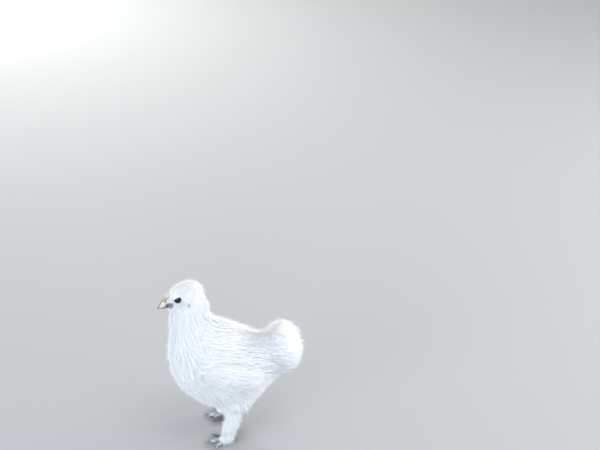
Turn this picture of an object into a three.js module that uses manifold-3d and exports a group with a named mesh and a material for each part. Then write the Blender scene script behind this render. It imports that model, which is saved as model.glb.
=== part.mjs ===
// A white silkie pullet standing at life size, in millimetres, +Z up, facing -X with its left side towards -Y.
// One outline function, a smooth union of egg shapes, gives the bird's form out to the tips of its plumage.
// Each named part is a sphere moved out to that outline, parted from its neighbours by a thin cut.
import * as THREE from "three";
import { mergeVertices } from "three/addons/utils/BufferGeometryUtils.js";
import Module from "manifold-3d";

const wasm = await Module();
wasm.setup();

// Driving dimensions
const GAP = 0.35; // clear space at each cut
const BODY_HEIGHT = 131; // the trunk's middle above the ground
const STANCE = 54; // between the middles of the two feet
const HEAD_AT = [-72, 0, 272]; // middle of the skull
const HEAD_YAW = 18; // degrees, towards the bird's left
const HEAD_PITCH = 5; // degrees, beak down
const EYE_AT = [-7.8, 9.4, 1.8]; // in the head's frame, for the right eye
const EYE_RADIUS = 6.2;
const EARLOBE_OUT = 21.5; // half the width over the ears
const GAPE_AT = -23; // where the bill leaves the face, in the head's frame
const BEAK_LENGTH = 16; // from there to the tip
const SHANK_RADIUS = 10.2; // with its feathering
const ANKLE_RADIUS = 4.2; // the bare leg under it
const TOE_RADIUS = 3.2;
const TOE_AXIS_HEIGHT = 2.9; // less than the radius, so that each toe rests on a flat
const CLAW_LENGTH = 7.5;
const CLAW_RADIUS = 1.9;

// The toes of a right foot: length, degrees from straight ahead towards the outer side, and rise of the tip
const TOES = [
  { length: 14, turn: 158, rise: 0 }, // first, behind
  { length: 22, turn: -36, rise: 0 }, // second, inner
  { length: 30, turn: 2, rise: 0 }, // third, middle
  { length: 25, turn: 38, rise: 0 }, // fourth, outer
  { length: 14, turn: -142, rise: 12 }, // fifth, inner and curving up behind
];

const PLUMAGE = { color: 0xf1f3f8, roughness: 0.9 };
const COMB = { color: 0x3d2c38, roughness: 0.55 };
const EARLOBE = { color: 0x6fa3b0, roughness: 0.5 };
const HORN = { color: 0xd8cbb2, roughness: 0.4 };
const SLATE = { color: 0x59616b, roughness: 0.55 };
const EYE_BLACK = { color: 0x0b0a0c, roughness: 0.08 };

const vec = (x, y, z) => new THREE.Vector3(x, y, z);

// A frame at a point, turned by a yaw about Z and then tipped by a pitch about its own Y, in degrees.
function frame(at, pitch = 0, yaw = 0) {
  const radians = [0, pitch, yaw].map(THREE.MathUtils.degToRad);
  const turn = new THREE.Quaternion().setFromEuler(new THREE.Euler(...radians, "ZYX"));
  return new THREE.Matrix4().compose(vec(...at), turn, vec(1, 1, 1));
}
const bird = new THREE.Matrix4();
const head = frame(HEAD_AT, -HEAD_PITCH, HEAD_YAW); // beak along -X, right eye towards +Y
const inFrame = (point, within) => vec(...point).applyMatrix4(within).toArray();

// An egg is an ellipsoid with its own frame inside another; a positive tilt lowers its tail end.
const egg = (centre, radii, { tilt = 0, yaw = 0, within = bird } = {}) => ({
  centre: inFrame(centre, within),
  toEgg: within.clone().multiply(frame(centre, tilt, yaw)).invert(),
  radii: vec(...radii),
});

// Distance from a point to an egg's surface, negative inside.
function eggDistance({ toEgg, radii }, point) {
  const scaled = point.clone().applyMatrix4(toEgg).divide(radii);
  const reach = scaled.length();
  const slope = scaled.divide(radii).length();
  return slope < 1e-9 ? -Math.min(...radii.toArray()) : (reach * (reach - 1)) / slope;
}

// The smaller of two distances, with the crease between them filled over a width.
function blend(a, b, width) {
  const h = Math.max(width - Math.abs(a - b), 0) / width;
  return Math.min(a, b) - (h * h * width) / 4;
}

// Distance to a smooth union of [egg, fillet width] pairs.
const union = (eggs) => (point) => eggs.reduce((d, [e, fillet]) => blend(d, eggDistance(e, point), fillet), 1e3);

const outline = union([
  [egg([-8, 0, BODY_HEIGHT], [74, 63, 62], { tilt: -4 }), 18], // trunk
  [egg([-46, 0, BODY_HEIGHT + 24], [51, 55, 60]), 18], // breast
  [egg([0, 0, BODY_HEIGHT - 33], [40, 44, 42]), 18], // belly
  [egg([-18, 0, 178], [44, 42, 34], { tilt: 12 }), 14], // cape
  [egg([81.5, 0, 168.5], [29.5, 38, 41], { tilt: -12 }), 14], // tail cushion
  [egg([42, 0, 143], [36, 43, 38], { tilt: 4 }), 12], // rump
  [egg([-61.5, 0, 214], [30.5, 30, 52]), 22], // neck
  [egg([-50, 0, 250], [18, 22, 24]), 14], // nape
  [egg([0, 0, 0], [20, 13.6, 15], { within: head }), 8], // skull
  [egg([-17, 0, -6.5], [8.5, 6.6, 7], { within: head }), 5], // face, between the eyes and the bill
  [egg([9, 0, -8], [19, 15.5, 15], { within: head }), 12], // cheeks
  [egg([-14, 0, -19], [10, 8.5, 9], { within: head }), 9], // throat
  [egg([13, 0, 0], [21, 18, 15], { tilt: -25, within: head }), 10], // crest
]);

// Merges a geometry's shared vertices, drops its empty triangles and makes it a solid.
function solid(geometry) {
  const bare = geometry.clone();
  bare.deleteAttribute("normal");
  bare.deleteAttribute("uv");
  const merged = mergeVertices(bare, 1e-4);
  const index = merged.index.array;
  const kept = [];
  for (let i = 0; i < index.length; i += 3) {
    const [a, b, c] = index.slice(i, i + 3);
    if (a !== b && b !== c && c !== a) kept.push(a, b, c);
  }
  const mesh = { numProp: 3, vertProperties: merged.attributes.position.array, triVerts: new Uint32Array(kept) };
  return new wasm.Manifold(new wasm.Mesh(mesh));
}

// A sphere whose vertices move out along their rays to where a distance is zero, or to a margin beyond that.
function moulded(distance, centre, { reach = 300, columns = 12, rows = 8, grow = 0, lengthwise = false } = {}) {
  const geometry = new THREE.SphereGeometry(1, columns, rows).rotateX(Math.PI / 2);
  if (lengthwise) geometry.rotateY(Math.PI / 2);
  const at = geometry.attributes.position;
  for (let i = 0; i < at.count; i++) {
    const ray = new THREE.Vector3().fromBufferAttribute(at, i).normalize();
    const point = vec(...centre);
    for (let travel = 0; travel < reach; ) {
      const left = grow - distance(point);
      if (left < 0.01) break;
      const step = Math.min(Math.max(left * 0.6, 0.02), reach - travel);
      point.addScaledVector(ray, step);
      travel += step;
    }
    at.setXYZ(i, point.x, point.y, point.z);
  }
  return solid(geometry);
}
const eggSolid = (e, options) => moulded((point) => eggDistance(e, point), e.centre, options);

// A limb is a sphere drawn out along a smooth curve through points, with a radius for each of them.
// A fullness of 1 gives it spindle ends and a small one blunt ends; width scales it sideways.
function limb(points, radii, { sides = 7, rows = 5, fullness = 0.3, width = 1, grow = 0, within = bird } = {}) {
  const curve = new THREE.CatmullRomCurve3(points.map((point) => vec(...point)));
  const thickness = new THREE.SplineCurve(radii.map((radius, i) => new THREE.Vector2(i, radius)));
  const steps = 60;
  const frames = curve.computeFrenetFrames(steps);
  const geometry = new THREE.SphereGeometry(1, sides, rows);
  const at = geometry.attributes.position;
  for (let i = 0; i < at.count; i++) {
    const along = THREE.MathUtils.clamp((1 - at.getY(i)) / 2, 0, 1);
    const ring = Math.hypot(at.getX(i), at.getZ(i));
    const k = Math.round(along * steps);
    const point = curve.getPointAt(along);
    if (ring > 1e-6) {
      const radius = (thickness.getPoint(along).y + grow) * ring ** (fullness - 1);
      point.addScaledVector(frames.normals[k], at.getX(i) * radius);
      point.addScaledVector(frames.binormals[k], at.getZ(i) * radius * width);
    } else {
      point.addScaledVector(frames.tangents[k], along < 0.5 ? -grow : grow);
    }
    at.setXYZ(i, point.x, point.y, point.z);
  }
  return solid(geometry.applyMatrix4(within));
}

// A plane is a point on it and its normal, in a frame. A body keeps what lies beyond it or before it.
const plane = (point, normal, within = bird) => ({
  point: vec(...point).applyMatrix4(within),
  normal: vec(...normal).transformDirection(within),
});
const beyond = (body, { point, normal }, margin = GAP / 2) =>
  body.trimByPlane(normal.toArray(), normal.dot(point) + margin);
const before = (body, { point, normal }) => beyond(body, { point, normal: normal.clone().negate() });
const without = (body, others) => others.reduce((rest, other) => rest.subtract(other), body);
const joined = (bodies) => bodies.reduce((all, body) => all.add(body));

// Where the parts divide
const NECK_BASE = plane([-62, 0, 199], [-0.4, 0, 0.92]);
const THROAT = plane([-62, 0, 251], [-0.16, 0, 0.99]);
const TAIL_BASE = plane([54, 0, 150], [0.9, 0, 0.43]);
const CREST_EDGE = plane([-8, 0, 11], [0.32, 0, 0.95], head);
const GAPE = plane([GAPE_AT, 0, -7.6], [0.28, 0, -0.96], head); // the normal points into the lower bill
const GROUND = plane([0, 0, 0], [0, 0, 1]);

const model = new THREE.Group();
const wholeBird = new THREE.Group();
model.add(wholeBird);

// Adds a body as a named mesh, with its pivot in the middle of its box. A sliver left by a cut is dropped.
function add(name, body, finish, parent = wholeBird) {
  const largest = body.decompose().reduce((a, b) => (b.volume() > a.volume() ? b : a));
  const { vertProperties, triVerts } = largest.getMesh();
  const geometry = new THREE.BufferGeometry();
  geometry.setAttribute("position", new THREE.BufferAttribute(vertProperties, 3));
  geometry.setIndex(new THREE.BufferAttribute(triVerts, 1));
  geometry.computeBoundingBox();
  const pivot = geometry.boundingBox.getCenter(vec(0, 0, 0));
  geometry.translate(-pivot.x, -pivot.y, -pivot.z).computeVertexNormals();
  const mesh = new THREE.Mesh(geometry, new THREE.MeshStandardMaterial({ ...finish, metalness: 0 }));
  mesh.name = name;
  mesh.position.copy(pivot);
  parent.add(mesh);
}
const SIDES = [
  { suffix: "left", side: -1 },
  { suffix: "right", side: 1 },
];

// The wing lies folded along the trunk, with its tip over the rump.
function wing(side, grow = 0) {
  const distance = union([
    [egg([-4, 53 * side, 148], [48, 12, 29], { tilt: 8, yaw: -5 * side }), 1],
    [egg([33, 46 * side, 143], [23, 8, 16], { tilt: 12, yaw: -14 * side }), 18],
  ]);
  return moulded(distance, [2, 52 * side, 148], { grow, columns: 16, rows: 10, lengthwise: true });
}

// The bill is deepest at the face and hooks down to its tip.
function upperBill(grow = 0) {
  const path = [
    [GAPE_AT + 7, 0, -2.4],
    [GAPE_AT, 0, -3],
    [GAPE_AT - BEAK_LENGTH * 0.5, 0, -5.8],
    [GAPE_AT - BEAK_LENGTH, 0, -13],
  ];
  const shape = { grow, sides: 12, rows: 9, fullness: 0.3, width: 0.86, within: head };
  return limb(path, [5, 5.6, 4.6, 0.7], shape);
}
function lowerBill(grow = 0) {
  const path = [
    [GAPE_AT + 7, 0, -8.6],
    [GAPE_AT, 0, -9.3],
    [GAPE_AT - BEAK_LENGTH * 0.4, 0, -10.2],
    [GAPE_AT - BEAK_LENGTH * 0.75, 0, -12.1],
  ];
  return limb(path, [3.2, 3.6, 2.8, 0.8], { grow, sides: 10, rows: 6, fullness: 0.25, within: head });
}

// A small walnut comb: five lobes round a middle over the base of the bill.
function comb(grow = 0) {
  const middle = [GAPE_AT + 4, 0, 4.4];
  const lobes = [0, 1, 2, 3, 4].map((i) => {
    const around = (i * 2 * Math.PI) / 5;
    const centre = [middle[0] - 2.4 * Math.cos(around), 2.6 * Math.sin(around), middle[2] + 0.9];
    return [egg(centre, [2.6, 2.3, 2.4], { within: head }), 1.6];
  });
  return moulded(union(lobes), inFrame(middle, head), { grow, columns: 12, rows: 6, reach: 9 });
}
const eye = (side, grow = 0) =>
  solid(new THREE.SphereGeometry(EYE_RADIUS + grow, 12, 8)).translate(
    inFrame([EYE_AT[0], EYE_AT[1] * side, EYE_AT[2]], head),
  );
const bead = { columns: 8, rows: 6 };
const earlobe = (side, grow = 0) =>
  eggSolid(egg([5.8, EARLOBE_OUT * side, -7.4], [3, 1.8, 4], { within: head }), { ...bead, grow });
const wattle = (side, grow = 0) =>
  eggSolid(egg([GAPE_AT + 3, 7 * side, -12.2], [3.4, 2.2, 4.2], { within: head }), { ...bead, grow });

// A toe leaves the pad at the foot's middle and comes down to lie along the ground, or curves up.
function toePath({ length, turn, rise }, side) {
  const angle = THREE.MathUtils.degToRad(turn);
  const at = (part, z) => [-Math.cos(angle) * part * length, Math.sin(angle) * part * length * side, z];
  const low = TOE_AXIS_HEIGHT;
  if (rise) return [at(0.07, 8), at(0.5, 9), at(0.85, 9 + rise * 0.4), at(1, 9 + rise)];
  return [at(0.05, 5), at(0.35, low + 0.9), at(0.7, low), at(1, low)];
}

// A claw carries on the toe's line and bends down towards its tip.
function claw(toe, side, within, grow = 0) {
  const [bend, last] = toePath(toe, side).slice(2).map((point) => vec(...point));
  const line = last.clone().sub(bend).normalize();
  const at = (part, drop) => last.clone().addScaledVector(line, part * CLAW_LENGTH).add(vec(0, 0, -drop)).toArray();
  const path = [at(-0.35, 0), at(0.2, -0.3), at(0.65, 0.3), at(1, 1.5)];
  return limb(path, [CLAW_RADIUS, CLAW_RADIUS, 1.25, 0.45], { grow, sides: 6, rows: 5, within });
}

// The bare foot: a pad, the ankle that rises into the shank, and the toes.
function bareFoot(side, within, grow = 0) {
  const pad = eggSolid(egg([1, 0, 4.4], [8, 7, 5.2], { within }), { grow, columns: 9, rows: 5 });
  const ankle = limb([[1, 0, 4], [3, 0, 12], [6, 0, 22]], [ANKLE_RADIUS, ANKLE_RADIUS, ANKLE_RADIUS], { grow, within });
  const toes = TOES.map((toe) => {
    const radius = toe.rise ? TOE_RADIUS * 0.8 : TOE_RADIUS;
    return limb(toePath(toe, side), [radius + 0.5, radius + 0.2, radius - 0.1, radius - 0.5], { grow, within });
  });
  return joined([pad, ankle, ...toes]);
}

// A leg's feathered parts: the thigh sunk in the trunk, and the shank with the boot that spreads over the foot.
const LEGS = SIDES.map(({ suffix, side }) => {
  const at = [side < 0 ? -12.5 : -13, (STANCE / 2) * side, 0];
  return { suffix, side, at, hock: [at[0] + 15, at[1], 60], within: frame(at, 0, -8 * side) };
});
const thigh = ({ side, hock }, grow = 0) =>
  eggSolid(egg([hock[0], 31 * side, 90], [27, 21, 31], { tilt: -8 }), { grow, columns: 14, rows: 8 });
function shank({ side, at, hock, within }) {
  const low = vec(...at).lerp(vec(...hock), 0.1).toArray();
  const middle = vec(...at).lerp(vec(...hock), 0.55).toArray();
  const radii = [SHANK_RADIUS - 0.5, SHANK_RADIUS, SHANK_RADIUS + 1.5];
  const tube = limb([low, middle, hock], radii, { sides: 12, rows: 7, fullness: 0.4 });
  const boot = eggSolid(egg([0, 7 * side, 9], [12, 8.5, 6.5], { within }), { columns: 10, rows: 6 });
  return tube.add(boot);
}

// Trunk, neck, tail and wings
const wings = SIDES.map(({ side }) => wing(side, GAP));
const thighs = LEGS.map((leg) => thigh(leg, GAP));
const trunkForm = moulded(outline, [-12, 0, 135], { columns: 22, rows: 14 });
add("trunk", without(before(before(trunkForm, NECK_BASE), TAIL_BASE), [...wings, ...thighs]), PLUMAGE);
const tailForm = moulded(outline, [78, 0, 160], { reach: 64, columns: 20, rows: 12 });
add("tail", without(beyond(tailForm, TAIL_BASE), wings), PLUMAGE);
const neckForm = moulded(outline, [-62, 0, 224], { reach: 64, columns: 20, rows: 12 });
add("neck", before(beyond(neckForm, NECK_BASE), THROAT), PLUMAGE);
for (const { suffix, side } of SIDES) add(`wing_${suffix}`, wing(side), PLUMAGE);

// Head: the eyes, the bill and the fleshy parts sit in sockets cut for them
const sockets = [upperBill(GAP), lowerBill(GAP), comb(GAP)];
for (const { side } of SIDES) sockets.push(eye(side, GAP), earlobe(side, GAP), wattle(side, GAP));
const headForm = beyond(moulded(outline, inFrame([2, 0, -2], head), { reach: 60, columns: 22, rows: 14 }), THROAT);
add("head", without(before(headForm, CREST_EDGE), sockets), PLUMAGE);
add("crest", without(beyond(headForm, CREST_EDGE), sockets), PLUMAGE);
add("beak_upper", before(upperBill(), GAPE).subtract(comb(GAP)), HORN);
add("beak_lower", beyond(lowerBill(), GAPE).subtract(upperBill(GAP)), HORN);
add("comb", comb(), COMB);
for (const { suffix, side } of SIDES) {
  add(`eye_${suffix}`, eye(side), EYE_BLACK);
  add(`earlobe_${suffix}`, earlobe(side), EARLOBE);
  add(`wattle_${suffix}`, without(wattle(side), [lowerBill(GAP), upperBill(GAP)]), COMB);
}

// Legs
for (const leg of LEGS) {
  const { suffix, side, within } = leg;
  const group = new THREE.Group();
  wholeBird.add(group);
  const foot = beyond(bareFoot(side, within), GROUND, 0);
  add(`thigh_${suffix}`, thigh(leg), PLUMAGE, group);
  add(`shank_${suffix}`, without(shank(leg), [thigh(leg, GAP), bareFoot(side, within, GAP)]), PLUMAGE, group);
  add(`foot_${suffix}`, without(foot, TOES.map((toe) => claw(toe, side, within, GAP))), SLATE, group);
  TOES.forEach((toe, i) => add(`claw_${suffix}_${i + 1}`, claw(toe, side, within), HORN, group));
}

// The origin is on the ground under the middle of the bird's box.
wholeBird.updateMatrixWorld(true);
const box = new THREE.Box3().setFromObject(wholeBird);
wholeBird.position.set(-(box.min.x + box.max.x) / 2, -(box.min.y + box.max.y) / 2, -box.min.z);

export default model;
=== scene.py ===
import math

import bmesh
import bpy
import numpy as np
from mathutils import Matrix, Vector
from mathutils.bvhtree import BVHTree


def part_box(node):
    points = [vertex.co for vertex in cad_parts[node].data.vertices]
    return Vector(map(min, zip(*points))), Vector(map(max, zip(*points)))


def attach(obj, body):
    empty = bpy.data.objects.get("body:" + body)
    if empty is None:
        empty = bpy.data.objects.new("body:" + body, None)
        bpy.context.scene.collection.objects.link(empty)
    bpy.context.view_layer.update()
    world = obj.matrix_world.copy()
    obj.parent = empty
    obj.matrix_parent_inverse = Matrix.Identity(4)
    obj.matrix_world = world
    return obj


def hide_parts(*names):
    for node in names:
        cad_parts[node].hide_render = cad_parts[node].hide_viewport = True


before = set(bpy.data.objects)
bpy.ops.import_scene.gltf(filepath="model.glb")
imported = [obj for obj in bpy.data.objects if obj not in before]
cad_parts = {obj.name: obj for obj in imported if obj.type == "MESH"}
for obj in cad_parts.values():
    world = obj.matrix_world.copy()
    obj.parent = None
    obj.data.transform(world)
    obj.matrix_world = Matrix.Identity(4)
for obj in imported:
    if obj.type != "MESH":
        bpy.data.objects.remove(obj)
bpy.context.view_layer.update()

MM = 0.001
rng = np.random.default_rng(7)

# The photo's camera: its height above the horizon as seen from the bird, its distance, its focal
# length in pixels, and where in the photo a point inside the trunk shows
PHOTO = (600, 450)
AIM = np.array((-0.0019, 0.0, 0.110))
AIM_PIXEL = (232, 376)
ELEVATION = math.radians(40)
DISTANCE = 2.06
FOCAL_PIXELS = 1300
SENSOR = 36.0
AIMING_TURNS = 60

# The head's own frame has its origin in the skull, its bill along -X and its right side along +Y.
# Places in it are in mm.
HEAD_PITCH = math.radians(5)
EYE = np.array((-7.8, 9.4, 1.8))  # the right eye's middle
EYE_RADIUS = 6.2
BILL_BACK = -16  # where the bill starts inside the face
BILL_TIP = -39
GAPE = -23  # where the bill leaves the face
EARLOBE = np.array((5.8, 21.5, -7.4))
NOSTRIL = np.array((-25.6, 4.0, -0.7))
FACE = (-14, 0, -3)  # the middle of the face

# Depth of the plumage over the skin, in mm, by the kind of CAD node that it is in
DEPTH = {
    "trunk": 20, "tail": 14, "neck": 12, "wing": 15, "thigh": 13, "shank": 4.5, "crest": 8, "head": 1.6,
    "comb": 0, "wattle": 0, "earlobe": 0, "foot": 0,
}
FACE_DEPTH = 0.9  # at the face, from where it grows to the back of the head
SEAM = 0.35 * MM  # the CAD's clear space at each cut
FORM_VOXEL = 1.1 * MM
SKIN_VOXEL = 0.95 * MM
CREASE_ROUNDS = 400


def camera_axes():
    """The camera's place, and its right, up and forward directions, that show AIM at AIM_PIXEL."""
    towards = np.array((0, math.cos(ELEVATION), -math.sin(ELEVATION)))
    place = AIM - DISTANCE * towards
    yaw, pitch = 0.0, ELEVATION
    for _ in range(AIMING_TURNS):
        level = math.cos(pitch)
        ahead = np.array((math.sin(yaw) * level, math.cos(yaw) * level, -math.sin(pitch)))
        right = np.array((math.cos(yaw), -math.sin(yaw), 0))
        up = np.cross(right, ahead)
        depth = towards @ ahead
        yaw -= (AIM_PIXEL[0] - PHOTO[0] / 2) / FOCAL_PIXELS - (towards @ right) / depth
        pitch += (PHOTO[1] / 2 - AIM_PIXEL[1]) / FOCAL_PIXELS - (towards @ up) / depth
    return place, right, up, ahead


def make_camera():
    place, right, up, ahead = camera_axes()
    data = bpy.data.cameras.new("camera")
    data.sensor_width = SENSOR
    data.lens = FOCAL_PIXELS * SENSOR / PHOTO[0]
    data.clip_start = 0.01
    camera = bpy.data.objects.new("camera", data)
    axes = Matrix([[right[i], up[i], -ahead[i]] for i in range(3)]).to_4x4()
    camera.matrix_world = Matrix.Translation(Vector(place)) @ axes
    bpy.context.scene.collection.objects.link(camera)
    bpy.context.scene.camera = camera


# Meshes as numpy arrays

def unit(v):
    return v / np.maximum(np.linalg.norm(v, axis=-1, keepdims=True), 1e-12)


def smoothstep(low, high, value):
    t = np.clip((value - low) / (high - low), 0, 1)
    return t * t * (3 - 2 * t)


def read(mesh):
    """Points and triangles of a mesh."""
    points = np.empty(len(mesh.vertices) * 3)
    mesh.vertices.foreach_get("co", points)
    mesh.calc_loop_triangles()
    triangles = np.empty(len(mesh.loop_triangles) * 3, np.int32)
    mesh.loop_triangles.foreach_get("vertices", triangles)
    return points.reshape(-1, 3), triangles.reshape(-1, 3)


def add_object(name, mesh):
    piece = bpy.data.objects.new(name, mesh)
    bpy.context.scene.collection.objects.link(piece)
    return piece


def mesh_of(name, points, faces):
    """A smooth mesh from points and an array of faces with equally many corners."""
    mesh = bpy.data.meshes.new(name)
    corners = np.asarray(faces, np.int32)
    mesh.vertices.add(len(points))
    mesh.vertices.foreach_set("co", np.asarray(points, np.float32).ravel())
    mesh.loops.add(corners.size)
    mesh.loops.foreach_set("vertex_index", corners.ravel())
    mesh.polygons.add(len(corners))
    mesh.polygons.foreach_set("loop_start", np.arange(len(corners), dtype=np.int32) * corners.shape[1])
    mesh.polygons.foreach_set("use_smooth", np.ones(len(corners), bool))
    mesh.update(calc_edges=True)
    mesh.validate()
    return mesh


def set_values(mesh, **values):
    """One number for each point, under each name, for a material to read."""
    for name, numbers in values.items():
        layer = mesh.attributes.new(name, "FLOAT", "POINT")
        layer.data.foreach_set("value", np.asarray(numbers, np.float32))


def joined(parts):
    """One (points, triangles) of several."""
    start, points, triangles = 0, [], []
    for p, t in parts:
        points.append(p)
        triangles.append(t + start)
        start += len(p)
    return np.concatenate(points), np.concatenate(triangles)


def normals(points, triangles):
    a, b, c = (points[triangles[:, i]] for i in range(3))
    face = np.cross(b - a, c - a)
    out = np.zeros_like(points)
    for axis in range(3):
        for corner in range(3):
            out[:, axis] += np.bincount(triangles[:, corner], face[:, axis], len(points))
    return unit(out)


class Smoother:
    """Averages values over a closed mesh's neighbouring points."""

    def __init__(self, triangles, count):
        # Each edge has two triangles, which run along it in opposite directions, so every point is
        # listed once with each of its neighbours.
        self.a = np.concatenate([triangles[:, 0], triangles[:, 1], triangles[:, 2]])
        self.b = np.concatenate([triangles[:, 1], triangles[:, 2], triangles[:, 0]])
        self.count = count
        self.weight = np.maximum(np.bincount(self.a, minlength=count), 1)

    def once(self, values):
        if values.ndim == 1:
            return np.bincount(self.a, values[self.b], self.count) / self.weight
        return np.stack([self.once(values[:, i]) for i in range(values.shape[1])], 1)

    def run(self, values, rounds):
        for _ in range(rounds):
            values = values + (self.once(values) - values) * 0.5
        return values

    def relax(self, values, rounds):
        """Smooths without shrinking."""
        for _ in range(rounds):
            values = values + (self.once(values) - values) * 0.5
            values = values - (self.once(values) - values) * 0.52
        return values


def evaluated(points, triangles, kind, weights=None, **settings):
    """A mesh with one modifier applied. Weights choose the points that the modifier goes by."""
    source = add_object("source", mesh_of("source", points, triangles))
    modifier = source.modifiers.new("modifier", kind)
    for name, value in settings.items():
        setattr(modifier, name, value)
    if weights is not None:
        group = source.vertex_groups.new(name="weights")
        group.add(np.nonzero(weights)[0].tolist(), 1.0, "REPLACE")
        modifier.vertex_group = "weights"
    graph = bpy.context.evaluated_depsgraph_get()
    result = read(source.evaluated_get(graph).to_mesh())
    bpy.data.objects.remove(source)
    return result


def remeshed(points, triangles, voxel):
    """The outside of the union of closed bodies."""
    return evaluated(points, triangles, "REMESH", mode="VOXEL", voxel_size=voxel)


def finer(points, triangles, chosen):
    """Cuts the edges between chosen points in half."""
    mesh = mesh_of("finer", points, triangles)
    work = bmesh.new()
    work.from_mesh(mesh)
    edges = [e for e in work.edges if chosen[e.verts[0].index] and chosen[e.verts[1].index]]
    bmesh.ops.subdivide_edges(work, edges=edges, cuts=1, use_grid_fill=True)
    bmesh.ops.triangulate(work, faces=work.faces[:])
    work.to_mesh(mesh)
    work.free()
    result = read(mesh)
    bpy.data.meshes.remove(mesh)
    return result


def tree_of(points, triangles):
    return BVHTree.FromPolygons([tuple(p) for p in points.tolist()], triangles.tolist())


def nearest(tree, points):
    """The nearest surface point, its normal and its triangle, for each point."""
    place, normal = np.empty_like(points), np.empty_like(points)
    index = np.empty(len(points), np.int64)
    for i, p in enumerate(points.tolist()):
        place[i], normal[i], index[i], _ = tree.find_nearest(p)
    return place, normal, index


def middle(node):
    low, high = (np.array(corner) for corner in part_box(node))
    return (low + high) / 2


FEET = [middle("foot_left"), middle("foot_right")]


def same_side(points, foot):
    """Which points are on the same side of the bird as a foot."""
    return np.sign(points[:, 1]) == np.sign(foot[1])


# The head's frame
eye_left, eye_right = middle("eye_left"), middle("eye_right")
across = unit(eye_right - eye_left)
level_back = np.cross(across, (0, 0, 1))
HEAD_AXES = np.stack([
    level_back * math.cos(HEAD_PITCH) + np.array((0, 0, 1)) * math.sin(HEAD_PITCH),
    across,
    np.array((0, 0, 1)) * math.cos(HEAD_PITCH) - level_back * math.sin(HEAD_PITCH),
], 1)
HEAD_AT = (eye_left + eye_right) / 2 - HEAD_AXES @ (EYE * (1, 0, 1)) * MM


def from_head(points):
    return HEAD_AT + np.asarray(points, float) * MM @ HEAD_AXES.T


def to_head(points):
    return (points - HEAD_AT) @ HEAD_AXES / MM


def folded(local):
    """Places in the head's frame, with those on its left mirrored to its right."""
    return np.stack([local[:, 0], np.abs(local[:, 1]), local[:, 2]], 1)


# The bird's outer form, out to the tips of the plumage, from the CAD nodes. Eyes, bill and claws
# are in it a little smaller, so that the skin closes behind them.
CAD = {name: read(piece.data) for name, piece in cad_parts.items()}
INSET = {"eye": 1.2, "beak": 1.1, "claw": 0.45}  # mm
FLESH = [name for name in CAD if name.split("_")[0] not in INSET]
KINDS = np.array([name.split("_")[0] for name in FLESH])
BARE_KINDS = ("comb", "wattle", "earlobe", "foot")
FINE_KINDS = ("head", "crest", "shank")  # smoothed less than the body

# Rounds of smoothing: of the line between the body and the finer parts, and of each of these
EDGE_ROUNDS = 20
BODY_ROUNDS = 60
FINE_ROUNDS = 10
BARE_ROUNDS = 3


def form_part(name):
    """A CAD node, swollen over the cuts, or drawn in where a hard piece takes its place."""
    points, triangles = CAD[name]
    inset = INSET.get(name.split("_")[0])
    return points + normals(points, triangles) * (SEAM if inset is None else -inset * MM), triangles


form_points, form_triangles = remeshed(*joined([form_part(name) for name in CAD]), FORM_VOXEL)
smoother = Smoother(form_triangles, len(form_points))
triangle_node = np.concatenate([np.full(len(CAD[name][1]), i) for i, name in enumerate(FLESH)])
cad_tree = tree_of(*joined([CAD[name] for name in FLESH]))


def kind_at(points):
    """Which kind of CAD node each point is nearest to."""
    return KINDS[triangle_node[nearest(cad_tree, points)[2]]]


form_kind = kind_at(form_points)
bare = np.isin(form_kind, BARE_KINDS)
broad = smoother.run((~np.isin(form_kind, FINE_KINDS) & ~bare).astype(float), EDGE_ROUNDS)[:, None]


def softened(points):
    """The form without the CAD's facets and cuts, with the body smoothed most."""
    soft = smoother.run(points, FINE_ROUNDS) * (1 - broad) + smoother.run(points, BODY_ROUNDS) * broad
    return np.where(bare[:, None], smoother.relax(points, BARE_ROUNDS), soft)


def creases_filled(points):
    """Loose down fills the creases between the back, the wings and the tail."""
    way_out = normals(points, form_triangles)
    crease = ((smoother.run(points, CREASE_ROUNDS) - points) * way_out).sum(1, keepdims=True)
    behind = smoothstep(0.0, 0.035, points[:, 0:1]) * broad
    return points + way_out * np.maximum(crease, 0) * behind


form_points = creases_filled(softened(form_points))
form_normals = normals(form_points, form_triangles)
form_tree = tree_of(form_points, form_triangles)

# The skin's body is that form drawn in by the plumage's depth
DEPTH_ROUNDS = 50  # of smoothing from one kind's depth to the next
INWARD_STEPS = 24
SHOWS_ROUND_FACE = 21  # mm, the skin that is kept fine
SHOWS_ON_FOOT = 30 * MM
THINNED_AWAY = 0.8
FINEST = (-15, 0, -3)  # the middle of the finest skin, in the head's frame, and its radius
FINEST_RADIUS = 17.5


def coat_depth():
    depth = np.array([DEPTH[kind] for kind in form_kind], float)
    from_face = np.linalg.norm(to_head(form_points) - FACE, axis=1)
    head = np.isin(form_kind, ("head", "crest"))
    depth[head] = (FACE_DEPTH + np.clip(from_face - 15, 0, 18) * 0.4)[head]
    depth *= MM
    for _ in range(DEPTH_ROUNDS):
        depth = np.where(bare, 0, smoother.once(depth))
    return depth


def drawn_in(points, triangles, depth):
    """Moves each point inwards by its depth, in small steps that smooth away narrow ridges."""
    slack = smoothstep(0.5 * MM, 8 * MM, depth)[:, None]
    for _ in range(INWARD_STEPS):
        inward = smoother.run(normals(points, triangles), 4)
        points = points - inward * (depth / INWARD_STEPS)[:, None]
        for _ in range(5):
            points = points + (smoother.once(points) - points) * 0.6 * slack
    return points


def thinned(points, triangles):
    """The skin with fewer points under the coat, and all of them on the face and the feet."""
    from_face = np.linalg.norm(to_head(points) - FACE, axis=1)
    hidden = (from_face >= SHOWS_ROUND_FACE) & (points[:, 2] >= SHOWS_ON_FOOT)
    return evaluated(points, triangles, "DECIMATE", hidden, ratio=1 - hidden.mean() * THINNED_AWAY)


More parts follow.
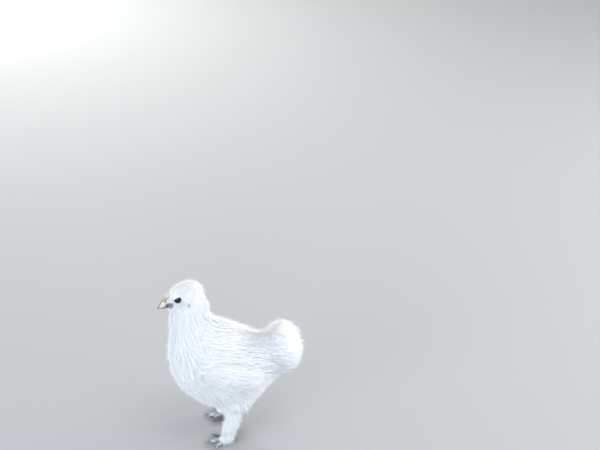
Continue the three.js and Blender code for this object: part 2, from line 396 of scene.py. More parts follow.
def smooth_skin():
    body = drawn_in(form_points, form_triangles, coat_depth())
    points, triangles = thinned(*remeshed(body, form_triangles, SKIN_VOXEL))
    finest = np.linalg.norm(to_head(points) - FINEST, axis=1) < FINEST_RADIUS
    return finer(points, triangles, finest)


# Eyelids: a mound over each eye, with an almond-shaped opening that has a thicker rim. In mm.
LID_LONG = 4.9  # from the middle of the opening to its ends
LID_HIGH = 4.1  # to its top
LID_LOW = 3.0  # to its bottom
LID_TILT = math.radians(-5)
LID_THICK = 0.45
RIM = 1.3
RIM_HEIGHT = 0.55
BEHIND_LID = 0.9  # how far inside the eyeball the skin closes within the opening
MOUND = 5.2  # how far from the eye's middle the lids follow the ball
MOUND_EDGE = 9.4  # how far out they end
MOUND_FOOT = -6.0  # and how far inwards of the eye's middle, well under the face's surface


def round_eye(local, side):
    """For points round one eye: how far they lie beyond the lids' opening, how far from the eye's
    middle in its plane, and how far outwards of it."""
    offset = local - EYE * (1, side, 1)
    long = -offset[:, 0] * math.cos(LID_TILT) + offset[:, 2] * math.sin(LID_TILT)
    high = offset[:, 0] * math.sin(LID_TILT) + offset[:, 2] * math.cos(LID_TILT)
    around = np.arctan2(high, long)
    reach = np.hypot(high, long)
    half_height = np.where(high > 0, LID_HIGH, LID_LOW)
    opening = 1 / np.hypot(np.cos(around) / LID_LONG, np.sin(around) / half_height)
    opening *= 1 + 0.12 * np.abs(np.cos(around)) ** 8
    return reach - opening, reach, offset[:, 1] * side


def eyelids(local):
    """The skin's points with the lids made, and how far each lies outside an eye's opening."""
    local = local.copy()
    past_lid = np.full(len(local), 99.0)
    for side in (-1, 1):
        past, reach, out = round_eye(local, side)
        ball = np.sqrt(np.maximum(EYE_RADIUS ** 2 - np.minimum(reach, MOUND) ** 2, 0))
        fall = np.clip((reach - MOUND) / (MOUND_EDGE - MOUND), 0, 1)
        mound = (ball + LID_THICK) * (1 - fall) + MOUND_FOOT * fall
        rim = RIM_HEIGHT * np.sqrt(np.clip(np.sin(np.clip(past / RIM, 0, 1) * math.pi), 0, 1))
        lid = (mound + out + np.sqrt((mound - out) ** 2 + 0.4)) / 2 + rim
        height = np.where(past < 0, ball - BEHIND_LID, lid)
        near = (out > MOUND_FOOT) & (reach < MOUND_EDGE)
        local[near, 1] = (EYE[1] + height)[near] * side
        past_lid[near] = past[near]
    return local, past_lid


skin_points, skin_triangles = smooth_skin()
skin_smoother = Smoother(skin_triangles, len(skin_points))
eyelid_points, past_lid = eyelids(to_head(skin_smoother.relax(skin_points, 2)))
skin_points = from_head(eyelid_points)
skin_tree = tree_of(skin_points, skin_triangles)
skin_kind = kind_at(skin_points)


# Materials

class Look:
    """A material in the making, whose functions add its nodes."""

    def __init__(self, name):
        self.material = bpy.data.materials.new(name)
        self.material.use_nodes = True
        self.nodes = self.material.node_tree.nodes
        self.links = self.material.node_tree.links
        self.shader = self.nodes["Principled BSDF"]

    def value(self, socket, number):
        """Sets what is the same all over."""
        self.shader.inputs[socket].default_value = number

    def paint(self, colour):
        self.links.new(colour, self.shader.inputs["Base Color"])

    def attribute(self, name):
        node = self.nodes.new("ShaderNodeAttribute")
        node.attribute_name = name
        return node.outputs["Fac"]

    def ramp(self, source, *stops):
        node = self.nodes.new("ShaderNodeValToRGB")
        while len(node.color_ramp.elements) < len(stops):
            node.color_ramp.elements.new(0.5)
        for element, (at, colour) in zip(node.color_ramp.elements, stops):
            element.position = at
            element.color = (*colour, 1)
        self.links.new(source, node.inputs["Fac"])
        return node.outputs["Color"]

    def mixed(self, factor, a, b, blend="MIX"):
        node = self.nodes.new("ShaderNodeMix")
        node.data_type = "RGBA"
        node.blend_type = blend
        for socket, value in zip((node.inputs["Factor"], node.inputs[6], node.inputs[7]), (factor, a, b)):
            if isinstance(value, bpy.types.NodeSocket):
                self.links.new(value, socket)
            else:
                socket.default_value = value if socket.type == "VALUE" else (*value, 1)
        return node.outputs[2]

    def noise(self, size, detail=3):
        """Noise with features of a size in mm."""
        place = self.nodes.new("ShaderNodeTexCoord")
        node = self.nodes.new("ShaderNodeTexNoise")
        node.inputs["Scale"].default_value = 1 / (size * MM)
        node.inputs["Detail"].default_value = detail
        self.links.new(place.outputs["Object"], node.inputs["Vector"])
        return node.outputs["Fac"]

    def bump(self, height, distance):
        """Bumps as high as a distance in mm."""
        node = self.nodes.new("ShaderNodeBump")
        node.inputs["Distance"].default_value = distance * MM
        self.links.new(height, node.inputs["Height"])
        self.links.new(node.outputs["Normal"], self.shader.inputs["Normal"])


def plumage_material():
    look = Look("white_plumage")
    # Painted shade: the strands are darker and a little bluer towards their roots, deep in the coat, so
    # that the gaps between plumes look shaded.
    deep_coat_shade = look.ramp(
        look.attribute("along"),
        (0.0, (0.93, 0.935, 0.95)), (0.5, (0.975, 0.978, 0.985)), (1.0, (0.99, 0.99, 0.99)))
    # Random differences of tone between plumes and strands; the grey low end also carries the painted shade
    # on the cheeks.
    tone_and_cheek_shade = look.ramp(
        look.attribute("tone"),
        (0.0, (0.74, 0.74, 0.80)), (0.4, (0.955, 0.96, 0.97)), (1.0, (1.0, 1.0, 1.0)))
    look.paint(look.mixed(1.0, deep_coat_shade, tone_and_cheek_shade, "MULTIPLY"))
    look.value("Roughness", 0.65)
    look.value("Specular IOR Level", 0.15)
    look.value("Sheen Weight", 0.25)
    look.value("Sheen Roughness", 0.5)
    return look.material


def skin_material():
    """Pale under the coat, and by the skin's attributes grey, mulberry, turquoise or slate."""
    look = Look("skin")
    mottle = look.noise(2.2)
    parts = {
        "face": look.ramp(mottle, (0.3, (0.125, 0.125, 0.142)), (0.7, (0.20, 0.20, 0.22))),
        "comb": look.ramp(look.noise(1.1), (0.3, (0.13, 0.12, 0.135)), (0.75, (0.23, 0.215, 0.235))),
        "lobe": look.ramp(mottle, (0.3, (0.22, 0.29, 0.33)), (0.75, (0.36, 0.43, 0.47))),
        "foot": look.ramp(look.noise(3.5), (0.3, (0.09, 0.10, 0.118)), (0.75, (0.20, 0.215, 0.235))),
        # The lid rims: dark skin, made near black as painted shade in the crease round the eye.
        "lid": (0.025, 0.024, 0.028),
    }
    colour = look.ramp(mottle, (0.3, (0.72, 0.72, 0.77)), (0.7, (0.84, 0.84, 0.87)))
    for name, part in parts.items():
        colour = look.mixed(look.attribute(name), colour, part)
    scute_edge = look.ramp(look.attribute("scute"), (0.0, (0.55, 0.56, 0.58)), (0.35, (1.0, 1.0, 1.0)))
    scutes = look.mixed(1.0, colour, scute_edge, "MULTIPLY")
    look.paint(look.mixed(look.attribute("foot"), colour, scutes))
    look.value("Roughness", 0.55)
    wrinkles = look.noise(0.9, 4)
    look.bump(look.mixed(look.attribute("foot"), wrinkles, look.attribute("scute")), 0.35)
    return look.material


def horn_material():
    look = Look("horn")
    grain = look.noise(0.8, 4)
    pale = look.ramp(grain, (0.3, (0.57, 0.49, 0.41)), (0.75, (0.70, 0.61, 0.52)))
    tan = look.ramp(grain, (0.3, (0.23, 0.17, 0.12)), (0.75, (0.31, 0.235, 0.17)))
    dark = look.ramp(grain, (0.3, (0.045, 0.04, 0.045)), (0.75, (0.09, 0.08, 0.09)))
    look.paint(look.mixed(look.attribute("dark"), look.mixed(look.attribute("tan"), pale, tan), dark))
    look.value("Roughness", 0.38)
    look.value("Coat Weight", 0.2)
    look.value("Coat Roughness", 0.3)
    look.bump(grain, 0.12)
    return look.material


def eye_material():
    """The pupil, a dark brown iris and a black edge, by the angle from the eye's axis."""
    look = Look("eye")
    look.paint(look.ramp(
        look.attribute("polar"),
        (0.0, (0.002, 0.002, 0.003)), (0.3, (0.002, 0.002, 0.003)), (0.33, (0.009, 0.006, 0.005)),
        (0.5, (0.011, 0.008, 0.006)), (0.56, (0.003, 0.003, 0.003)), (1.0, (0.006, 0.005, 0.006))))
    look.value("Roughness", 0.25)
    look.value("Specular IOR Level", 0.0)
    look.value("Coat Weight", 1.0)
    look.value("Coat IOR", 1.38)
    look.value("Coat Roughness", 0.02)
    return look.material


PLUMAGE = plumage_material()
HORN = horn_material()
EYE_MATERIAL = eye_material()


# Eyes, bill and claws

def closed_rings(rings):
    """Triangles of a closed body from (rings, around, 3) points, with a fan over each end."""
    count, around = rings.shape[:2]
    points = np.concatenate([rings.reshape(-1, 3), rings[0].mean(0)[None], rings[-1].mean(0)[None]])
    i, k = np.meshgrid(np.arange(count - 1) * around, np.arange(around), indexing="ij")
    n = (k + 1) % around
    a, b, c, d = i + k, i + n, i + around + n, i + around + k
    k, n = np.arange(around), (np.arange(around) + 1) % around
    last = (count - 1) * around
    sides = [np.stack([a, b, c], -1).reshape(-1, 3), np.stack([a, c, d], -1).reshape(-1, 3)]
    ends = [np.stack([np.full(around, len(points) - 2), n, k], 1),
            np.stack([np.full(around, len(points) - 1), last + k, last + n], 1)]
    return points, np.concatenate(sides + ends)


def outward(points, triangles):
    """Turns a closed body's triangles so that its volume is positive."""
    a, b, c = (points[triangles[:, i]] - points.mean(0) for i in range(3))
    return triangles if (np.cross(a, b) * c).sum() > 0 else triangles[:, ::-1]


def hard_piece(name, points, triangles, material, slot, nodes, **values):
    """A piece of one material in place of some CAD nodes."""
    mesh = mesh_of(name, points, outward(points, triangles))
    set_values(mesh, **values)
    mesh.materials.append(material)
    piece = add_object(name, mesh)
    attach(piece, "root")
    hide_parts(*nodes)


EYE_RINGS = 40
EYE_ROUND = 48  # points in each ring
CORNEA = 0.3  # how far it stands out, in mm


def eyeball(name, side):
    theta = np.linspace(0.02, math.pi - 0.02, EYE_RINGS)[:, None]
    phi = np.linspace(0, 2 * math.pi, EYE_ROUND, endpoint=False)[None]
    radius = EYE_RADIUS - 0.08 + CORNEA * np.exp(-(theta / 0.55) ** 2)
    ball = np.stack([
        radius * np.sin(theta) * np.cos(phi),
        radius * np.cos(theta) * side + 0 * phi,
        radius * np.sin(theta) * np.sin(phi),
    ], -1)
    points, triangles = closed_rings(ball + EYE * (1, side, 1))
    polar = np.append(np.repeat(theta.ravel(), EYE_ROUND), (0, math.pi)) / (math.pi / 2)
    hard_piece(name, from_head(points), triangles, EYE_MATERIAL, "eye", [name], polar=np.clip(polar, 0, 1))


def bill_section(x, top, low, half, n_top, n_low):
    """A ring round the bill: a pointed arch over a flatter underside."""
    angle = np.linspace(0, 2 * math.pi, 48, endpoint=False)
    c, s = np.cos(angle), np.sin(angle)
    power = np.where(s > 0, 2 / n_top, 2 / n_low)
    waist = low + (top - low) * 0.3
    y = half * np.sign(c) * np.abs(c) ** power
    height = np.abs(s) ** power
    z = np.where(s > 0, waist + (top - waist) * height, waist - (waist - low) * height)
    return np.stack([np.full_like(y, x), y, z], 1)


def culmen_line(x):
    """The height of the bill's upper edge."""
    return 2.8 - 15.6 * np.clip((x - BILL_BACK) / (BILL_TIP - BILL_BACK), 0, 1) ** 3.2


def gape_line(x):
    """The height of the line where the bill's halves meet."""
    return -7.6 + 0.29 * (x - GAPE)


def upper_bill():
    rings = []
    for s in np.linspace(0, 1, 56):
        x = BILL_BACK + (BILL_TIP - BILL_BACK) * s
        top = culmen_line(x)
        low = gape_line(x) - 1.1 * smoothstep(0.86, 1, s)
        half = 4.9 * (1 - s ** 3.6) ** 0.75 + 0.35
        rings.append(bill_section(x, top, min(low, top - 0.5), half, 1.75, 5))
    return closed_rings(np.array(rings))


def lower_bill():
    rings = []
    for s in np.linspace(0, 1, 40):
        x = BILL_BACK + (BILL_TIP + 3.6 - BILL_BACK) * s
        top = gape_line(x) - 0.25
        low = top - (5.2 * (1 - s ** 3) ** 0.8 + 0.5)
        half = 4.2 * (1 - s ** 3.2) ** 0.75 + 0.3
        rings.append(bill_section(x, top, low, half, 6, 2.1))
    return closed_rings(np.array(rings))


NOSTRIL_LONG, NOSTRIL_HIGH, NOSTRIL_DEEP = 2.7, 1.5, 0.9
NOSTRIL_SLANT = (0.94, 0.34)  # cosine and sine


def in_nostril(points):
    """1 in the nostril, 0 outside it."""
    offset = folded(points) - NOSTRIL
    cosine, sine = NOSTRIL_SLANT
    along = offset[:, 0] * cosine + offset[:, 2] * sine
    over = offset[:, 2] * cosine - offset[:, 0] * sine
    return 1 - smoothstep(0.55, 1.15, np.hypot(along / NOSTRIL_LONG, over / NOSTRIL_HIGH))


def bill(name, points, triangles, nodes):
    """A half of the bill: dark at the gape, near black in the nostril as painted shade in its opening, tan
    at the tip and along the edges.
    """
    hole = in_nostril(points)
    way_out = normals(points, outward(points, triangles))
    points = points - way_out * (hole * NOSTRIL_DEEP)[:, None]
    x, _, z = points.T
    gape = smoothstep(-28.0, -25.0, x) * smoothstep(-3.0, -5.0, z)
    tip = smoothstep(-32, -38, x)
    culmen = smoothstep(-1.8, -0.2, z - culmen_line(x))
    lower = smoothstep(1.2, -0.8, z - gape_line(x))
    # Painted shade: near black in the nostril's opening.
    dark = np.maximum(gape * 0.8, hole)
    tan = np.max([tip, culmen * 0.8, lower], 0)
    hard_piece(name, from_head(points), triangles, HORN, "horn", nodes, dark=dark, tan=tan)


CLAW_RINGS = 22
CLAW_ROUND = 20
CLAW_RADIUS = 1.6  # mm
CLAW_ARCH = 0.7  # how far the claw bends up between its root and its tip, in mm
CLAW_DARK = (0.9, 0.5)  # at the root and at the tip


def claw(points, ankle):
    """A claw along its CAD node, from its root in the toe to its tip."""
    order = np.argsort(np.linalg.norm(points - ankle, axis=1))
    root, tip = points[order[:8]].mean(0), points[order[-3:]].mean(0)
    line = unit(tip - root)
    sideways = unit(np.cross(line, (0, 0, 1)))
    upward = np.cross(sideways, line)
    angle = np.linspace(0, 2 * math.pi, CLAW_ROUND, endpoint=False)
    ring = np.outer(np.cos(angle), sideways) * 0.85 + np.outer(np.sin(angle), upward)
    rings = []
    for t in np.linspace(0, 1, CLAW_RINGS):
        radius = (CLAW_RADIUS * (1 - t ** 1.6) ** 0.8 + 0.25) * MM
        centre = root + (tip - root) * t + upward * CLAW_ARCH * MM * math.sin(math.pi * t ** 0.8)
        rings.append(centre + ring * radius)
    points, triangles = closed_rings(np.array(rings))
    return points, outward(points, triangles)


def claws(side):
    names = [name for name in CAD if name.startswith(f"claw_{side}")]
    ankle = middle(f"foot_{side}")
    points, triangles = joined([claw(CAD[name][0], ankle) for name in names])
    at_root, at_tip = CLAW_DARK
    along = at_root - np.linspace(0, 1, CLAW_RINGS) * (at_root - at_tip)
    dark = np.tile(np.append(np.repeat(along, CLAW_ROUND), (at_root, at_tip)), len(names))
    hard_piece(f"claws_{side}", points, triangles, HORN, "horn", names, dark=dark, tan=dark * 0)


eyeball("eye_left", -1)
eyeball("eye_right", 1)
bill("bill_upper", *upper_bill(), ["beak_upper"])
bill("bill_lower", *lower_bill(), ["beak_lower"])
claws("left")
claws("right")

# The lie of the plumage: each region's own direction, smoothed over the form. Where it is shorter
# than 1 the plumes stand up.
LIE = {"neck": (0.35, 0, -1), "thigh": (0.25, 0, -1), "foot": (-1, 0, -0.3), "wing": (1, 0, -0.22)}
CREST_ROOT = (-14, 0, -2)  # in the head's frame
TAIL_ROOT = middle("tail") - (0.080, 0, 0.010)
FLOW_ROUNDS = 140
FLOW_ROUNDS_EVERYWHERE = 25  # after these only the broad regions are smoothed on


def trunk_field(points):
    """Backwards, more downwards the lower and the nearer to the breast."""
    low = smoothstep(0.170, 0.110, points[:, 2])
    front = smoothstep(-0.025, -0.075, points[:, 0])
    return np.stack([np.ones(len(points)), np.zeros(len(points)), -0.12 - 0.7 * low - 1.8 * front], 1)


def head_field(points):
    """Backwards from the bill, upwards high on the head and downwards low on it."""
    rise = -0.5 + to_head(points)[:, 2] * 0.03
    return np.stack([np.full(len(points), 1.0), np.zeros(len(points)), rise], 1) @ HEAD_AXES.T


def crest_field(points):
    return (unit(to_head(points) - CREST_ROOT) + (0.35, 0, 0)) @ HEAD_AXES.T


def shank_field(points, foot):
    """Down the leg, and outwards over the toes at its end."""
    outwards = unit(points - foot - (0, 0, 0.01)) * (1.2, 1.2, 0.4)
    low = smoothstep(0.030, 0.012, points[:, 2])[:, None]
    return np.array((0.0, 0, -1)) * (1 - low) + (outwards + (0, 0, -0.4)) * low


def field_at(points, kinds):
    field = trunk_field(points)
    for kind, way in LIE.items():
        field[kinds == kind] = way
    head, crest, tail = np.isin(kinds, ("head", "comb")), kinds == "crest", kinds == "tail"
    field[head] = head_field(points)[head]
    field[crest] = crest_field(points)[crest]
    field[tail] = unit(points - TAIL_ROOT)[tail]
    for foot in FEET:
        near = (kinds == "shank") & same_side(points, foot)
        field[near] = shank_field(points, foot)[near]
    return unit(field)


def in_surface(vectors):
    return vectors - form_normals * (vectors * form_normals).sum(1, keepdims=True)


def plumage_flow():
    flow = in_surface(field_at(form_points, form_kind))
    for turn in range(FLOW_ROUNDS):
        smoothed = in_surface(smoother.once(flow))
        flow = smoothed if turn < FLOW_ROUNDS_EVERYWHERE else flow + (smoothed - flow) * broad
    strength = np.linalg.norm(flow, axis=1, keepdims=True)
    return flow / np.maximum(strength, 1e-9) * smoothstep(0.0, 0.2, strength)


flow = plumage_flow()

# Plumes. Each is a tuft of thin strands with one root on the skin and its tips on the bird's outer
# form. For each region: the spacing of the plumes, the strands in each, their length and width, the
# spread of their tips, and how far these vary inwards and outwards, in mm. Stray is the share of
# further, small plumes that stand out, by up to their reach.
COLUMNS = ("spacing", "strands", "length", "width", "spread", "inward", "outward", "stray", "reach")
PLUMES = {
    "trunk": (3.1, 6, 34, 0.62, 3.2, -1.5, 0.7, 0.30, 7.5),
    "tail": (2.9, 6, 27, 0.62, 3.2, -1.8, 0.7, 0.45, 7),
    "neck": (2.8, 6, 24, 0.52, 2.6, -1.5, 0.8, 0.26, 6),
    "wing": (2.9, 6, 34, 0.64, 2.8, -1.3, 0.7, 0.22, 5.5),
    "thigh": (2.8, 6, 26, 0.55, 2.8, -1.8, 0.9, 0.34, 8),
    "shank": (2.3, 6, 17, 0.44, 2.2, -1.8, 1.6, 0.8, 8),
    "crest": (2.0, 6, 18, 0.42, 2.4, -1.5, 1.0, 0.40, 6),
    "head": (1.5, 5, 5.5, 0.3, 1.0, -0.5, 0.5, 0.05, 2),
    "comb": (1.1, 6, 7, 0.34, 1.6, 0.3, 1.7, 0.10, 2.5),
    "foot": (2.2, 5, 11, 0.4, 1.6, 0.2, 2.0, 0.20, 3),
}
THIN = 1.0
RINGS = ((0.0, 0.55), (0.55, 1.0), (0.82, 0.7))  # place along a strand and share of its width
SOFTNESS = 0.5  # how far the shading follows the coat's surface instead of each strand's
RAISED_STRANDS = 3
GREYER = {"crest": 0.3, "neck": 0.15, "head": 0.1}  # how much less white than the rest
BILL_ROOT = (-15, 0, -2)  # in the head's frame
SHORTEST = 3.2  # the plumes' length round it, in mm
UV_PATCH = 0.003
TRIANGLES_PER_STRAND = 6 * (len(RINGS) - 1) + 4
POINTS_PER_STRAND = 3 * len(RINGS) + 1
MOST_STRANDS = 195_000 // TRIANGLES_PER_STRAND  # in one piece


def spread_evenly(faces, spacing):
    """Points on some of the form's triangles, one for each square of that spacing, with the form's
    normal and the flow there."""
    corners = form_points[form_triangles[faces]]
    edges = corners[:, 1:] - corners[:, :1]
    area = np.linalg.norm(np.cross(edges[:, 0], edges[:, 1]), axis=1) / 2
    cell = np.floor(corners.mean(1) / (spacing * MM * 1.3)).astype(np.int64)
    order = np.lexsort((cell[:, 2], cell[:, 1], cell[:, 0]))
    total = np.cumsum(area[order])
    count = int(total[-1] / (spacing * MM) ** 2)
    marks = (np.arange(count) + rng.random(count)) * total[-1] / count
    chosen = order[np.searchsorted(total, marks)]
    u, v = rng.random(count), rng.random(count)
    flip = u + v > 1
    u[flip], v[flip] = 1 - u[flip], 1 - v[flip]
    weights = np.stack([1 - u - v, u, v], 1)
    triangles = form_triangles[faces[chosen]]

    def at(values):
        return (values[triangles] * weights[:, :, None]).sum(1)
    return at(form_points), unit(at(form_normals)), at(flow)


def bezier(c, t):
    s = 1 - t
    return c[0] * s ** 3 + c[1] * 3 * s * s * t + c[2] * 3 * s * t * t + c[3] * t ** 3


def slope(c, t):
    s = 1 - t
    return (c[1] - c[0]) * 3 * s * s + (c[2] - c[1]) * 6 * s * t + (c[3] - c[2]) * 3 * t * t


def strand_faces(count):
    """The triangles of closed strands: one over the root, two for each side between rings, and three
    to the tip."""
    one = [(0, 2, 1)]
    for ring in range(len(RINGS) - 1):
        for k in range(3):
            a, b = ring * 3 + k, ring * 3 + (k + 1) % 3
            one += [(a, b, b + 3), (a, b + 3, a + 3)]
    last = (len(RINGS) - 1) * 3
    one += [(last + k, last + (k + 1) % 3, last + 3) for k in range(3)]
    return (np.array(one)[None] + (np.arange(count) * POINTS_PER_STRAND)[:, None, None]).reshape(-1, 3)


def strands(controls, normal, width, tone, root_uv):
    """Closed, three-sided strands along cubic curves, which taper to a point. Their shading normals
    lean towards the coat's own, as light spreads through loose down."""
    count = len(normal)
    points, shading, along, uv = [], [], [], []
    for t, share in RINGS:
        at, way = bezier(controls, t), unit(slope(controls, t))
        side = unit(np.cross(normal, way))
        top = np.cross(way, side)
        half = (width * share / 2)[:, None]
        for x, y, across_patch in ((-1, -0.15, 0), (1, -0.15, 1), (0, 0.35, 0.5)):
            points.append(at + side * half * x + top * half * y)
            shading.append(unit(side * x + top * y) * (1 - SOFTNESS) + normal * SOFTNESS)
            along.append(np.full(count, t))
            uv.append((across_patch, t * 0.9))
    points.append(controls[3])
    shading.append(normal)
    along.append(np.ones(count))
    uv.append((0.5, 1.0))
    points = np.stack(points, 1).reshape(-1, 3)
    points[:, 2] = np.maximum(points[:, 2], 0.3 * MM)
    shading = unit(np.stack(shading, 1).reshape(-1, 3))
    along = np.stack(along, 1).ravel()
    uv = np.tile(np.array(uv), (count, 1)) * UV_PATCH + np.repeat(root_uv, POINTS_PER_STRAND, 0)
    return points, strand_faces(count), shading, along, np.repeat(tone, POINTS_PER_STRAND), uv


def unwrapped(points, centre):
    """A region's skin unrolled round its own middle: longitude and height angle."""
    ray = unit(points - centre)
    u = np.arctan2(ray[:, 1], ray[:, 0]) / (2 * math.pi) + 0.5
    v = np.arccos(np.clip(ray[:, 2], -1, 1)) / math.pi
    return np.stack([u, v], 1) * 0.98 + 0.005


def bare_lore(local):
    """1 on the bare skin between the eye and the bill, 0 off it."""
    x, _, z = local.T
    return smoothstep(-13.5, -15.5, x) * smoothstep(-14.5, -12.5, z) * smoothstep(-3, -5, z)


def shaded_cheek(local):
    """1 round and below the eye and behind it to the ear, where the down is painted a mottled grey: painted
    shade of the ear tuft and the hackles.
    """
    under = (folded(local) - (-3, 12, -4)) / (13, 14, 8)
    return smoothstep(1.2, 0.7, np.linalg.norm(under, axis=1))


def kept_on_head(local):
    """The share of plumes that grow at each place on the head: none in front of the gape, at the eyes
    and on the lore, and few on the ear lobes."""
    fold = folded(local)
    past, _, out = round_eye(fold, 1)
    share = np.where(out > MOUND_FOOT, smoothstep(1.0, 1.8, past), 1)
    share *= smoothstep(GAPE - 1.5, GAPE + 0.5, local[:, 0])
    lobe = smoothstep(3.4, 1.6, np.linalg.norm(fold - EARLOBE, axis=1))
    return share * (1 - bare_lore(local)) * (1 - 0.8 * lobe)


def above_skin(points):
    """Points on the head, moved out where they are not above the skin by the depth at the face."""
    clearance = FACE_DEPTH * MM
    below, normal, _ = nearest(skin_tree, points)
    clear = ((points - below) * normal).sum(1, keepdims=True)
    return np.where(clear < clearance, below + normal * clearance, points)


def placed(kind, look, share):
    """The plumes' tips, the form's normal and the flow there, their lengths in mm and, on the head, how
    grey they are with painted cheek shade.
    """
    tips, normal, lie = spread_evenly(PLUMED[kind], look["spacing"] / math.sqrt(share))
    if kind != "head":
        return tips, normal, lie, np.full(len(tips), float(look["length"])), None
    local = to_head(tips)
    kept = rng.random(len(tips)) < kept_on_head(local)
    tips, normal, lie, local = tips[kept], normal[kept], lie[kept], local[kept]
    from_bill = np.linalg.norm(local - BILL_ROOT, axis=1)
    length = SHORTEST + np.clip(from_bill - 10, 0, 18) * 0.6
    return above_skin(tips), normal, lie, length, shaded_cheek(local)


def tip_lifts(look, count, n, raised):
    """How far the strands' tips stand off the form, in mm."""
    lift = look["inward"] + (look["outward"] - look["inward"]) * rng.beta(2.4, 2.0, count * n)
    if raised:
        heights = np.repeat(rng.uniform(0.2, 1, count), n) * rng.uniform(0.6, 1.1, count * n)
        lift = heights * look["reach"]
    return lift


def strand_tones(kind, grey, count, n):
    """How white the strands are, from 0 to 1: partly each plume's own, partly each strand's."""
    tone = 0.4 + np.repeat(rng.random(count), n) * 0.3 + rng.random(count * n) * 0.3
    tone -= GREYER.get(kind, 0)
    if grey is not None:
        # Painted shade: the down on the cheeks is mottled grey for the shade of the ear tuft and the
        # hackles.
        tone -= np.repeat(grey * rng.random(count), n) * 0.7
    return tone


def plume_strands(kind, raised=False):
    """A region's plumes, or the further ones that stand out. Each curve goes from the plume's root
    by its shoulder, which lies on the form half-way, to the strand's tip."""
    look = dict(zip(COLUMNS, PLUMES[kind]))
    tips, tip_normal, lie, length, grey = placed(kind, look, THIN * (look["stray"] if raised else 1))
    count = len(tips)
    n = RAISED_STRANDS if raised else look["strands"]
    size = count * n

    def each(values):
        return np.repeat(values, n, 0)

    length = (length * rng.uniform(0.8, 1.15, count) * MM)[:, None]
    flat = np.linalg.norm(lie, axis=1, keepdims=True)
    lie = lie / np.maximum(flat, 1e-9)
    back, under = length * flat, length * (1.3 - 0.8 * flat)
    shoulder, shoulder_normal, _ = nearest(form_tree, tips - lie * back * 0.5)
    if kind == "head":
        shoulder = above_skin(shoulder)
    root, root_normal, _ = nearest(skin_tree, tips - lie * back * 0.8 - tip_normal * under)

    side = unit(np.cross(tip_normal, lie))
    lift = tip_lifts(look, count, n, raised)[:, None] * MM * np.minimum(1, each(length) / (12 * MM))
    settled = lift * (0.15 if raised else 0.5)
    spread = look["spread"] * MM * (0.5 if raised else 1)
    sideways = rng.normal(0, spread * 0.55, size)[:, None]
    forward = rng.normal(0, spread * 0.7, size)[:, None]
    jitter = rng.normal(0, 0.5 * MM, (size, 3)) * look["width"]
    bend = each(side) * rng.normal(0, spread * 0.35, size)[:, None]

    c0 = each(root - root_normal * 0.4 * MM) + jitter
    c3 = each(tips) + each(side) * sideways + each(lie) * forward + each(tip_normal) * lift
    c2 = each(shoulder - shoulder_normal * np.minimum(1.2 * MM, length * 0.1))
    c2 = c2 + each(side) * sideways * 0.55 + each(shoulder_normal) * settled
    c1 = c0 * 0.45 + c2 * 0.55 + each(root_normal * length) * 0.06
    tone = strand_tones(kind, grey, count, n)
    width = look["width"] * MM * rng.uniform(0.75, 1.2, size)
    uv = each(unwrapped(root, skin_points[skin_kind == kind].mean(0)))
    return strands((c0, c1, c2 + bend, c3), each(tip_normal), width, tone, uv)


def feathered_toes():
    """The form's triangles on top of the middle and outer toes, where the leg's feathers run on."""
    at = form_points[form_triangles].mean(1)
    on_top = form_normals[form_triangles[:, 0], 2] > 0.15
    chosen = np.zeros(len(at), bool)
    for foot in FEET:
        from_ankle = at - np.array((foot[0] + 0.004, foot[1], 0))
        outer = from_ankle[:, 1] * np.sign(foot[1])
        near = (np.linalg.norm(from_ankle, axis=1) < 0.027) & same_side(at, foot)
        chosen |= near & on_top & (from_ankle[:, 0] < 0.004) & (outer > -0.004)
    return chosen


def plumed_faces():
    """The form's triangles that carry each kind of plumes."""
    kinds = form_kind.copy()
    low_wattle = (form_kind == "wattle") & (to_head(form_points)[:, 2] < -11.5)
    kinds[(form_kind == "earlobe") | low_wattle] = "head"
    kinds = kinds[form_triangles[:, 0]]
    kinds[(kinds == "foot") & ~feathered_toes()] = ""
    return {kind: np.nonzero(kinds == kind)[0] for kind in PLUMES}


def coat_piece(name, points, faces, shading, along, tone, uv):
    mesh = mesh_of(name, points, faces)
    mesh.normals_split_custom_set_from_vertices(shading)
    layer = mesh.uv_layers.new(name="OFBake")
    layer.uv.foreach_set("vector", uv[faces.ravel()].astype(np.float32).ravel())
    set_values(mesh, along=along, tone=tone)
    mesh.materials.append(PLUMAGE)
    piece = add_object(name, mesh)
    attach(piece, "root")


def coat(kind):
    """A region's plumage, in as many pieces as it needs."""
    lying = plume_strands(kind)
    raised = plume_strands(kind, raised=True)
    faces = np.concatenate([lying[1], raised[1] + len(lying[0])])
    points, _, *values = (np.concatenate(pair) for pair in zip(lying, raised))
    count = len(faces) // TRIANGLES_PER_STRAND
    for i, start in enumerate(range(0, count, MOST_STRANDS)):
        end = min(start + MOST_STRANDS, count)
        own = slice(start * POINTS_PER_STRAND, end * POINTS_PER_STRAND)
        own_faces = faces[start * TRIANGLES_PER_STRAND:end * TRIANGLES_PER_STRAND] - own.start
        coat_piece(f"coat_{kind}_{i + 1}", points[own], own_faces, *(v[own] for v in values))


PLUMED = plumed_faces()
for kind in PLUMES:
    coat(kind)


# The skin

def toe_scutes(points):
    """Ridges across the toes and the front of the foot, as a height from 0 to 1."""
    height = np.zeros(len(points))
    for foot in FEET:
        near = same_side(points, foot)
        ankle = np.array((foot[0] + 0.004, foot[1], 0.004))
        reach = np.linalg.norm(points - ankle, axis=1) / (2.1 * MM)
        height[near] = (np.abs(np.sin(reach * math.pi)) ** 0.6)[near]
    return height


def soft_mask(rounds, *kinds):
    return skin_smoother.run(np.isin(skin_kind, kinds).astype(float), rounds)


skin_mesh = mesh_of("skin", skin_points, skin_triangles)
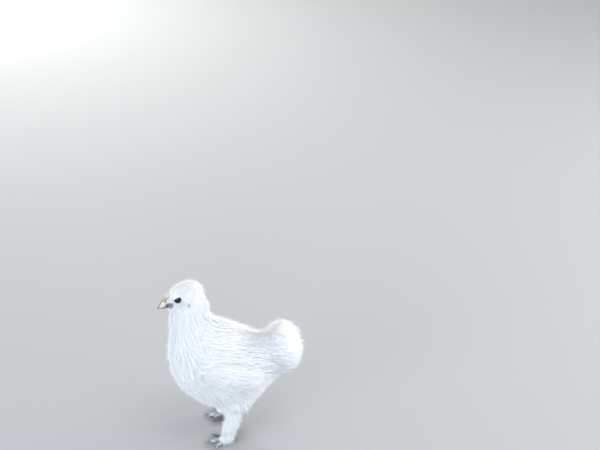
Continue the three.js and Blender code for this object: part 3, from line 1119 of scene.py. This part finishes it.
# lid: the lid rims near black, partly dark skin and partly painted shade round the eyes.
set_values(
    skin_mesh, face=bare_lore(to_head(skin_points)), lid=smoothstep(1.5, 0.7, past_lid),
    comb=soft_mask(2, "comb", "wattle"), lobe=soft_mask(2, "earlobe"), foot=soft_mask(6, "foot"),
    scute=toe_scutes(skin_points))
skin = add_object("skin", skin_mesh)
skin.data.materials.append(skin_material())
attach(skin, "root")
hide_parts(*FLESH)

# Floor, light and camera
COOL = (0.75, 0.86, 1.0)
WARM = (1.0, 0.98, 0.94)
SKY = (0.94, 0.975, 1.0, 1)
SKY_STRENGTH = 0.81
FLOOR_HALF = 30
FLOOR_COLOUR = (0.38, 0.383, 0.39, 1)
LIT = Vector((0, 0, 0.12))  # where the lamps point
DIFFUSE_BOUNCES = 8  # light goes far through white down

# Each lamp's place, width, power and colour, and whether it shows as a spot in the eyes
LAMPS = {
    "front": ((-1.4, -1.4, 0.7), 1.4, 22, COOL, False),
    "low": ((0.0, -2.0, 0.6), 0.8, 13, COOL, True),
    "side": ((1.6, -0.7, 0.6), 1.2, 9, COOL, False),
    "right": ((1.7, 0.5, 0.7), 1.2, 17, WARM, False),
    "back": ((-0.6, 1.8, 0.9), 1.2, 28, WARM, False),
    "key": ((0.5, -0.4, 2.1), 0.9, 7, WARM, True),
}


def soft_light(name, place, size, power, colour, mirrored):
    data = bpy.data.lights.new(name, "AREA")
    data.shape = "DISK"
    data.size = size
    data.energy = power
    data.color = colour
    light = bpy.data.objects.new(name, data)
    light.location = place
    light.visible_glossy = mirrored
    light.rotation_euler = (LIT - Vector(place)).to_track_quat("-Z", "Y").to_euler()
    bpy.context.scene.collection.objects.link(light)


def make_world():
    world = bpy.data.worlds.new("world")
    world.use_nodes = True
    background = world.node_tree.nodes["Background"]
    background.inputs["Color"].default_value = SKY
    background.inputs["Strength"].default_value = SKY_STRENGTH
    bpy.context.scene.world = world


def make_floor():
    corners = np.array([(-1, -1, 0), (1, -1, 0), (1, 1, 0), (-1, 1, 0)]) * FLOOR_HALF
    floor = add_object("floor", mesh_of("floor", corners, [(0, 1, 2, 3)]))
    look = Look("floor")
    look.value("Base Color", FLOOR_COLOUR)
    look.value("Roughness", 0.9)
    floor.data.materials.append(look.material)


make_camera()
for name, settings in LAMPS.items():
    soft_light(name, *settings)
make_world()
bpy.context.scene.view_settings.view_transform = "Standard"
bpy.context.scene.cycles.diffuse_bounces = DIFFUSE_BOUNCES
make_floor()

bpy.context.view_layer.update()
